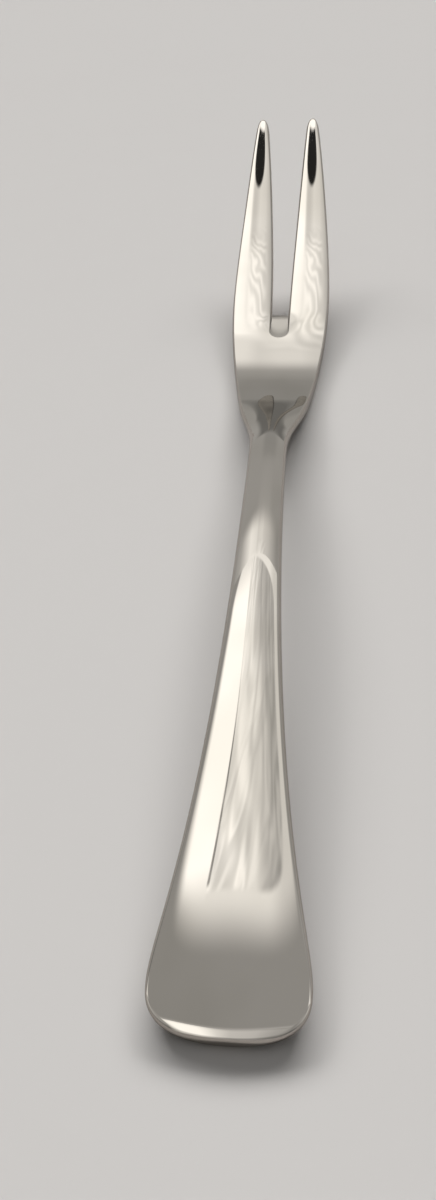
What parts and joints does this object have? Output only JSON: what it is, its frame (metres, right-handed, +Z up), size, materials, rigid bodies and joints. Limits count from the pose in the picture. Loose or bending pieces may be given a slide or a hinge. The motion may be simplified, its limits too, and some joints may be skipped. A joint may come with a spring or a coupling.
{
  "type": "serving fork",
  "caption": "Slim polished steel serving fork with tapered upswept tines, a narrow neck and a long handle that widens to a rounded end, for lifting salad, cold meat or pickles.",
  "frame": {"origin": "bottom centre of the bounding box, on the table below the middle of the fork's length", "axes": "+Y from the handle's end to the tips of the tines, +Z up, with the fork lying as on a table and its tines curving upwards, +X to the right for someone who holds the handle and looks along +Y"},
  "size_m": [0.0164, 0.1558, 0.019],
  "materials": {
    "steel": "mirror-polished stainless steel, solid metal and not plated"
  },
  "bodies": {
    "root": {"fork": "steel"}
  },
  "joints": []
}
